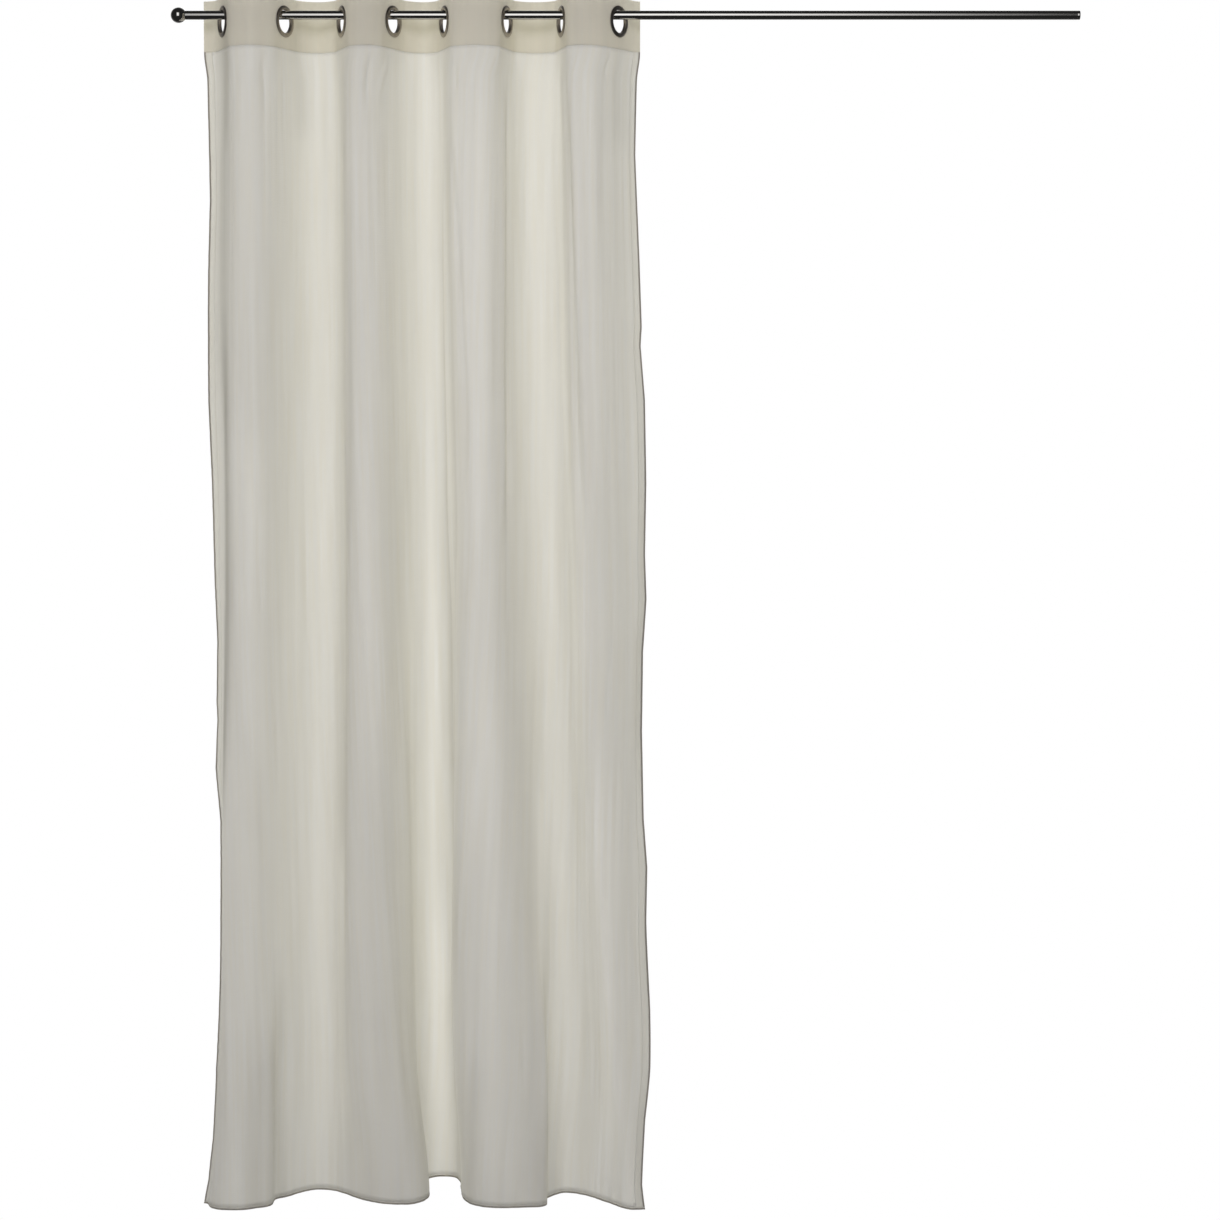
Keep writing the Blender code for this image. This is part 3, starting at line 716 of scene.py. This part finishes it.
def row_heights():
    """Heights of the panel's rows: closer together where the cloth puckers."""
    low, high = HEM_Z + BOTTOM_HEM - HEM_OVERLAP, BAND_FOOT_Z + TUCK
    marks = (low, low + FINE_ABOVE_HEM, high - FINE_BELOW_HEADING, high)
    heights = []
    for start, end, step in zip(marks, marks[1:], (FINE_ROW, PANEL_ROW, FINE_ROW)):
        heights.extend(np.linspace(start, end, round((end - start) / step), endpoint=False))
    return heights + [high]


def thicken(made, thickness):
    """Gives flat cloth its thickness, half of it to either side."""
    layer = made.modifiers.new("thickness", "SOLIDIFY")
    layer.thickness = thickness
    layer.offset = 0.0


def voile_panel():
    """The single layer of voile, tucked into the heading at its top and rolled at its foot."""
    bm = bmesh.new()
    inset = SIDE_HEM - HEM_OVERLAP
    flat_grid(bm, inset, CLOTH_WIDTH - inset, row_heights(), PANEL_COLUMNS)
    unwrap(bm)
    made = piece_from(bm, "voile_panel", SINGLE_VOILE)
    hang(made.data)
    thicken(made, PANEL_THICK)
    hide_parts("curtain_panel")
    return made


def hole_punch():
    """Eight round cutters, one for each eyelet, for the heading while it still lies flat."""
    bm = bmesh.new()
    for along, _, _ in EYELET_FLATS:
        place = Matrix.Translation((along, 0.0, ROD_R + HANG_CLEAR - BORE_R))
        bmesh.ops.create_cone(
            bm,
            cap_ends=True,
            segments=PUNCH_SEGMENTS,
            radius1=CLOTH_HOLE_R,
            radius2=CLOTH_HOLE_R,
            depth=PUNCH_DEPTH,
            matrix=place @ Matrix.Rotation(math.pi / 2, 4, "X"),
        )
    return object_from(bm, "hole_punch")


def heading_cloth():
    """The doubled heading: laid flat, thickened, punched for its eyelets, then hung."""
    bm = bmesh.new()
    flat_grid(bm, 0.0, CLOTH_WIDTH, np.linspace(BAND_FOOT_Z, TOP_Z, BAND_ROWS + 1), BAND_COLUMNS)
    unwrap(bm)
    made = piece_from(bm, "heading_cloth", DOUBLED_VOILE)
    thicken(made, BAND_THICK)
    rounding = made.modifiers.new("rounded edges", "BEVEL")
    rounding.width = BAND_EDGE_ROUND
    rounding.segments = 3
    rounding.limit_method = "ANGLE"
    rounding.angle_limit = math.radians(60)
    punch = made.modifiers.new("holes", "BOOLEAN")
    punch.operation = "DIFFERENCE"
    punch.solver = "EXACT"
    punch.object = hole_punch()
    bpy.context.view_layer.update()
    flat = made.evaluated_get(bpy.context.evaluated_depsgraph_get())
    punched = bpy.data.meshes.new_from_object(flat)
    made.modifiers.clear()
    bpy.data.objects.remove(bpy.data.objects["hole_punch"])
    made.data = punched
    hang(punched)
    punched.shade_smooth()
    punched.set_sharp_from_angle(angle=math.radians(SHARP_HEADING))
    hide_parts("heading_band")
    return made


def folded_strip(name, finish, centre, half_size, end_step, steps):
    """A strip of folded cloth. Its section lies at the centre, in the two axes in which half_size
    isn't 0, and it is carried on by steps of end_step, with both ends closed."""
    bm = bmesh.new()
    bmesh.ops.create_circle(bm, segments=HEM_SECTION_POINTS, radius=1.0, cap_ends=True)
    for vert in bm.verts:
        wide, thick = vert.co.x, vert.co.y
        wide = math.copysign(abs(wide) ** HEM_SQUARENESS, wide)
        vert.co = (
            centre[0] + half_size[0] * wide,
            centre[1] + half_size[1] * thick,
            centre[2] + half_size[2] * wide,
        )
    bmesh.ops.spin(
        bm,
        geom=bm.verts[:] + bm.edges[:] + bm.faces[:],
        cent=(0.0, 0.0, 0.0),
        axis=(0.0, 1.0, 0.0),
        dvec=end_step,
        angle=0.0,
        steps=steps,
        use_duplicate=False,
    )
    bmesh.ops.recalc_face_normals(bm, faces=bm.faces)
    unwrap(bm)
    made = piece_from(bm, name, finish, sharp_angle=SHARP_FOLD)
    hang(made.data, hem_pucker)
    return made


def hems():
    """The side hems and the bottom hem, each turned to the back and rolled tight along its edge."""
    low = HEM_Z + BOTTOM_HEM - HEM_OVERLAP
    high = BAND_FOOT_Z + HEM_OVERLAP
    rise = round((high - low) / HEM_STEP)
    up = (0.0, 0.0, (high - low) / rise)
    run = round(CLOTH_WIDTH / HEM_STEP)
    across = (CLOTH_WIDTH / run, 0.0, 0.0)
    roll = ("roll", ROLLED_VOILE, *EDGE_ROLL)
    side_strips = (("hem", TURNED_VOILE, SIDE_HEM / 2, SIDE_HEM_THICK / 2), roll)
    bottom_strips = (("hem", TURNED_VOILE, BOTTOM_HEM / 2, BOTTOM_HEM_THICK / 2), roll)
    made = []
    for side, edge, inward in (("left", 0.0, 1.0), ("right", CLOTH_WIDTH, -1.0)):
        for kind, finish, half, half_thick in side_strips:
            middle, size = (edge + inward * half, SIDE_HEM_BACK, low), (half, half_thick, 0.0)
            made.append(folded_strip(f"side_{kind}_{side}", finish, middle, size, up, rise))
    for kind, finish, half, half_thick in bottom_strips:
        middle, size = (0.0, BOTTOM_HEM_BACK, HEM_Z + half), (0.0, half_thick, half)
        made.append(folded_strip(f"bottom_{kind}", finish, middle, size, across, run))
    return made


def stitch_row(bm, start, end, behind):
    """Stitches from start to end, each (along, height), this far behind the cloth's middle."""
    run = Vector((end[0] - start[0], 0.0, end[1] - start[1]))
    count = round(run.length / STITCH_PITCH)
    half_long, half_thick = STITCH_HALF
    upright = abs(run.z) > abs(run.x)
    size = (half_thick, half_thick, half_long) if upright else (half_long, half_thick, half_thick)
    for k in range(count):
        middle = Vector((start[0], behind, start[1])) + run * ((k + 0.5) / count)
        matrix = Matrix.Translation(middle) @ Matrix.Diagonal((*size, 1.0))
        bmesh.ops.create_icosphere(bm, subdivisions=1, radius=1.0, matrix=matrix)


def seam(name, rows, pucker=None):
    """One seam, sewn through the cloth: its rows of stitches as a single piece."""
    bm = bmesh.new()
    for row in rows:
        stitch_row(bm, *row)
    unwrap(bm)
    made = piece_from(bm, name, SEWING_THREAD)
    hang(made.data, pucker)
    return made


def rows_on_both_faces(start, end, middle, thickness):
    """A row of stitches on the front and one on the back of cloth this thick."""
    sunk = thickness / 2 - STITCH_SINK
    return [(start, end, middle - sunk), (start, end, middle + sunk)]


def seams():
    """The stitching that shows on both faces of the heading and the hems."""
    left, right = SEAM_INSET, CLOTH_WIDTH - SEAM_INSET
    seam_z = BAND_FOOT_Z + SEAM_ABOVE_FOOT
    rows = rows_on_both_faces((left, seam_z), (right, seam_z), 0.0, BAND_THICK)
    made = [seam("heading_seam", rows)]
    fold = SIDE_HEM - SEAM_FROM_FOLD
    for name, along in (("side_seam_left", fold), ("side_seam_right", CLOTH_WIDTH - fold)):
        top, foot = (along, BAND_FOOT_Z), (along, HEM_Z + BOTTOM_HEM)
        rows = rows_on_both_faces(top, foot, SIDE_HEM_BACK, SIDE_HEM_THICK)
        made.append(seam(name, rows, hem_pucker))
    seam_z = HEM_Z + BOTTOM_HEM - SEAM_FROM_FOLD
    rows = rows_on_both_faces((left, seam_z), (right, seam_z), BOTTOM_HEM_BACK, BOTTOM_HEM_THICK)
    made.append(seam("bottom_seam", rows, hem_pucker))
    return made


# ---------------------------------------------------------------- turned metal
def turned(name, corners, axis, steps, finish, closed, matrices=(Matrix.Identity(4),)):
    """Turns a profile about the axis, once for each matrix. Each corner is (height along the axis,
    radius, how far it is rounded), and a closed profile also runs from its last to its first."""
    along = Vector(axis)
    out = Vector((0.0, 0.0, 1.0)) if abs(along.x) > 0.5 else Vector((1.0, 0.0, 0.0))
    bm = bmesh.new()
    verts = [bm.verts.new(along * height + out * radius) for height, radius, _ in corners]
    pairs = list(zip(verts, verts[1:]))
    if closed:
        pairs.append((verts[-1], verts[0]))
    for pair in pairs:
        bm.edges.new(pair)
    for vert, (_, _, rounding) in zip(verts, corners):
        if rounding:
            bmesh.ops.bevel(
                bm,
                geom=[vert],
                offset=rounding,
                offset_type="OFFSET",
                segments=ROUNDING_SEGMENTS,
                profile=0.5,
                affect="VERTICES",
                material=-1,
            )
    bmesh.ops.spin(
        bm,
        geom=bm.verts[:] + bm.edges[:],
        cent=(0.0, 0.0, 0.0),
        axis=along,
        angle=math.tau,
        steps=steps,
        use_merge=True,
    )
    bmesh.ops.remove_doubles(bm, verts=bm.verts, dist=MERGE_DISTANCE)
    bmesh.ops.recalc_face_normals(bm, faces=bm.faces)
    made = []
    for k, matrix in enumerate(matrices, start=1):
        copy = bm.copy()
        bmesh.ops.transform(copy, matrix=matrix, verts=copy.verts)
        label = f"{name}_{k}" if len(matrices) > 1 else name
        made.append(piece_from(copy, label, finish, sharp_angle=SHARP_METAL))
    bm.free()
    return made


def eyelet_places():
    """Each eyelet's own axes: X along the cloth, Y up, Z out of the cloth's front."""
    places = []
    for _, place, direction in EYELET_FLATS:
        x, y = (float(value) for value in direction)
        turn = Matrix(((x, 0.0, y, 0.0), (y, 0.0, -x, 0.0), (0.0, 1.0, 0.0, 0.0), (0.0, 0.0, 0.0, 1.0)))
        centre = (float(place[0]), float(place[1]), ROD_R + HANG_CLEAR - BORE_R)
        places.append(Matrix.Translation(centre) @ turn)
    return places


def eyelets():
    """Eight two-part eyelets: a domed ring with a barrel through the cloth, and a flat ring
    pressed onto that barrel from behind."""
    face, crown = CLAMP_FACE, CLAMP_FACE + FLANGE_HEIGHT
    back = -CLAMP_FACE - BACK_RING_HEIGHT
    barrel_r = BORE_R + BARREL_WALL
    front_corners = [
        (back - BARREL_END, BORE_R, 0.0004),
        (crown, BORE_R, 0.0022),
        (crown, RIM_R - FRONT_SHOULDER, 0.0024),
        (face + FLANGE_RIM, RIM_R, 0.0005),
        (face, RIM_R, 0.0002),
        (face, barrel_r, 0.0),
        (back - BARREL_END, barrel_r, 0.0004),
    ]
    back_corners = [
        (-face, barrel_r + SEAT_GAP, 0.0),
        (-face, RIM_R, 0.0002),
        (-face - FLANGE_RIM, RIM_R, 0.0004),
        (back, RIM_R - BACK_SHOULDER, 0.0018),
        (back, barrel_r + SEAT_GAP, 0.0007),
    ]
    places = eyelet_places()
    made = {}
    for side, corners in (("front", front_corners), ("back", back_corners)):
        name = f"eyelet_ring_{side}"
        rings = turned(name, corners, (0, 0, 1), RING_STEPS, DARK_NICKEL, True, places)
        for k, ring in enumerate(rings, start=1):
            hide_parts(f"eyelet_{k}_{side}")
            made[side, k] = ring
    return made


def rod_pieces():
    """The tube, the flat cap in its right end and the ball in its left."""
    bore = ROD_R - ROD_WALL
    tube_corners = [
        (ROD_LEFT_X, bore, 0.0),
        (ROD_LEFT_X, ROD_R, 0.0003),
        (ROD_RIGHT_X, ROD_R, 0.0003),
        (ROD_RIGHT_X, bore, 0.0),
    ]
    plug_r = bore - SEAT_GAP
    cap_end = ROD_RIGHT_X + CAP_RIM
    cap_corners = [
        (ROD_RIGHT_X - PLUG_LENGTH, 0.0, 0.0),
        (ROD_RIGHT_X - PLUG_LENGTH, plug_r, 0.0006),
        (ROD_RIGHT_X + SEAT_GAP, plug_r, 0.0),
        (ROD_RIGHT_X + SEAT_GAP, ROD_R, 0.0003),
        (cap_end, ROD_R, CAP_ROUND),
        (cap_end, 0.0, 0.0),
    ]
    neck_x = BALL_X + math.sqrt(BALL_R**2 - NECK_R**2)
    arc = [math.pi - k * math.pi / BALL_ARC_STEPS for k in range(BALL_ARC_STEPS + 1)]
    ball = [(BALL_X + BALL_R * math.cos(a), BALL_R * math.sin(a), 0.0) for a in arc]
    ball = [corner for corner in ball if corner[0] < neck_x]
    ball[0] = (BALL_X - BALL_R, 0.0, 0.0)
    ball_corners = ball + [
        (neck_x, NECK_R, 0.0),
        (ROD_LEFT_X - SEAT_GAP, NECK_R, 0.0),
        (ROD_LEFT_X - SEAT_GAP, plug_r, 0.0),
        (ROD_LEFT_X + PLUG_LENGTH, plug_r, 0.0006),
        (ROD_LEFT_X + PLUG_LENGTH, 0.0, 0.0),
    ]
    for name, corners, node_name, closed in (
        ("rod_tube", tube_corners, "rod", True),
        ("end_cap", cap_corners, "rod_end_cap", False),
        ("finial_ball", ball_corners, "ball_finial", False),
    ):
        made = turned(name, corners, (1, 0, 0), ROD_STEPS, BRUSHED_STEEL, closed)
        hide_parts(node_name)


panel = voile_panel()
heading = heading_cloth()
hem_pieces = hems()
heading_seam, left_seam, right_seam, bottom_seam = seams()
rings = eyelets()
rod_pieces()


# ---------------------------------------------------------------- studio
FLOOR_Z = HEM_Z - 0.060
CAMERA_PLACE = (-0.0447, -5.0, -0.7805)
CAMERA_PITCH = 2.04  # degrees down
CAMERA_LENS = 72.23
CAMERA_SHIFT_Y = -0.1007
KEY_PLACE = (-0.90, -6.0, 1.80)
KEY_AIM = (-0.42, 0.0, -0.90)
KEY_SIZE = (4.0, 2.0)
KEY_WATTS = 145.0
LIGHT_HEX = "F6F4FF"
SURROUND_STRENGTH = 1.32
# The middle of the window in the metal, and how far from it the window is clear and gone
WINDOW_ASIDE = (-0.045, (0.08, 0.39))
WINDOW_UP = (0.13, (0.28, 0.46))
WINDOW_STRENGTH = 2.1
DARK_ROOM, PALE_WALL = 0.03, 0.5
# How far away from the viewer a direction points where the surround, and the wall, turn pale
BRIGHTENS_BEHIND = (-0.3, 0.5)
WALL_BEHIND = (0.3, 1.0)
FLOOR_HALF = 1.6


def studio_floor():
    """A plain pale floor. It sends soft grey light up at the curtain, and seen directly it is as
    white as the surround, so that neither has an edge."""
    made, tree = new_material("white vinyl studio floor, rolled out")
    place = node(tree, "ShaderNodeTexCoord").outputs["Object"]
    grain = blotches(tree, place, (0.02, 0.02, 0.02)).outputs["Fac"]
    stops = ((0.3, "B8B8B8"), (0.7, "C0C0C0"))
    colour = node(tree, "ShaderNodeValToRGB", [("Fac", grain)], stops).outputs["Color"]
    shader = node(tree, "ShaderNodeBsdfPrincipled", [("Base Color", colour)], Roughness=0.8)
    seen = node(tree, "ShaderNodeEmission", Color=(1.0, 1.0, 1.0, 1.0), Strength=1.0)
    path = node(tree, "ShaderNodeLightPath").outputs["Is Camera Ray"]
    both = node(
        tree,
        "ShaderNodeMixShader",
        [("Fac", path), (1, shader.outputs["BSDF"]), (2, seen.outputs["Emission"])],
    )
    node(tree, "ShaderNodeOutputMaterial", [("Surface", both.outputs["Shader"])])
    bm = bmesh.new()
    bmesh.ops.create_grid(bm, x_segments=4, y_segments=4, size=FLOOR_HALF)
    bmesh.ops.translate(bm, verts=bm.verts, vec=(KEY_AIM[0], 0.0, FLOOR_Z))
    floor = object_from(bm, "studio_floor")
    floor.data.materials.append(made)
    floor.visible_glossy = False


def studio_surround():
    """Soft light from all round, brightest from behind the curtain. The surround itself is white."""
    world = bpy.data.worlds.new("studio_surround")
    world.use_nodes = True
    bpy.context.scene.world = world
    tree = world.node_tree
    tree.nodes.clear()
    direction = node(tree, "ShaderNodeTexCoord").outputs["Generated"]
    aside, away, up = node(tree, "ShaderNodeSeparateXYZ", [("Vector", direction)]).outputs
    reach = []
    for value, middle in ((aside, WINDOW_ASIDE[0]), (up, WINDOW_UP[0])):
        off = node(tree, "ShaderNodeMath", [(0, value), (1, middle)], operation="SUBTRACT")
        off = node(tree, "ShaderNodeMath", [(0, off.outputs["Value"])], operation="ABSOLUTE")
        reach.append(off.outputs["Value"])
    eased = []
    for value, (start, end), (first, last) in (
        (away, BRIGHTENS_BEHIND, (0.0, 1.0)),
        (away, WALL_BEHIND, (DARK_ROOM, PALE_WALL)),
        (reach[0], WINDOW_ASIDE[1], (1.0, 0.0)),
        (reach[1], WINDOW_UP[1], (1.0, 0.0)),
    ):
        change = node(
            tree,
            "ShaderNodeMapRange",
            [("Value", value)],
            interpolation_type="SMOOTHSTEP",
            From_Min=start,
            From_Max=end,
            To_Min=first,
            To_Max=last,
        )
        eased.append(change.outputs["Result"])
    spread, wall, pane_across, pane_up = eased
    stops = ((0.0, "78787F"), (1.0, "FFFFFF"))
    soft = node(tree, "ShaderNodeValToRGB", [("Fac", spread)], stops).outputs["Color"]
    light = node(tree, "ShaderNodeBackground", [("Color", soft)], Strength=SURROUND_STRENGTH)
    # Polished metal mirrors a wide low window before a dark room, and the pale wall behind
    shape = node(tree, "ShaderNodeMath", [(0, pane_across), (1, pane_up)], operation="MULTIPLY")
    bright = [(0, shape.outputs["Value"]), (1, WINDOW_STRENGTH)]
    window = node(tree, "ShaderNodeMath", bright, operation="MULTIPLY")
    seen_in_metal = [(0, window.outputs["Value"]), (1, wall)]
    mirrored = node(tree, "ShaderNodeMath", seen_in_metal, operation="ADD")
    room = node(tree, "ShaderNodeBackground", [("Strength", mirrored.outputs["Value"])])
    seen = node(tree, "ShaderNodeBackground", Color=(1.0, 1.0, 1.0, 1.0), Strength=1.0)
    path = node(tree, "ShaderNodeLightPath").outputs
    lit = node(
        tree,
        "ShaderNodeMixShader",
        [
            ("Fac", path["Is Glossy Ray"]),
            (1, light.outputs["Background"]),
            (2, room.outputs["Background"]),
        ],
    )
    both = node(
        tree,
        "ShaderNodeMixShader",
        [("Fac", path["Is Camera Ray"]), (1, lit.outputs["Shader"]), (2, seen.outputs["Background"])],
    )
    node(tree, "ShaderNodeOutputWorld", [("Surface", both.outputs["Shader"])])


def softbox(name, place, aim, size, watts):
    data = bpy.data.lights.new(name, "AREA")
    data.shape = "RECTANGLE"
    data.size, data.size_y = size
    data.energy = watts
    data.color = linear(LIGHT_HEX)[:3]
    light = bpy.data.objects.new(name, data)
    light.location = place
    light.rotation_euler = (Vector(aim) - Vector(place)).to_track_quat("-Z", "Y").to_euler()
    light.visible_camera = False
    light.visible_glossy = False
    bpy.context.scene.collection.objects.link(light)


def studio_camera():
    """The camera of the photograph: 5 m away, below the middle of the curtain, looking down a little."""
    data = bpy.data.cameras.new("camera")
    data.sensor_width = 36.0
    data.lens = CAMERA_LENS
    data.shift_y = CAMERA_SHIFT_Y
    data.clip_end = 100.0
    camera = bpy.data.objects.new("camera", data)
    camera.location = CAMERA_PLACE
    camera.rotation_euler = (math.radians(90.0 - CAMERA_PITCH), 0.0, 0.0)
    bpy.context.scene.collection.objects.link(camera)
    bpy.context.scene.camera = camera


studio_floor()
studio_surround()
softbox("key_softbox", KEY_PLACE, KEY_AIM, KEY_SIZE, KEY_WATTS)
studio_camera()
bpy.context.scene.view_settings.view_transform = "Standard"
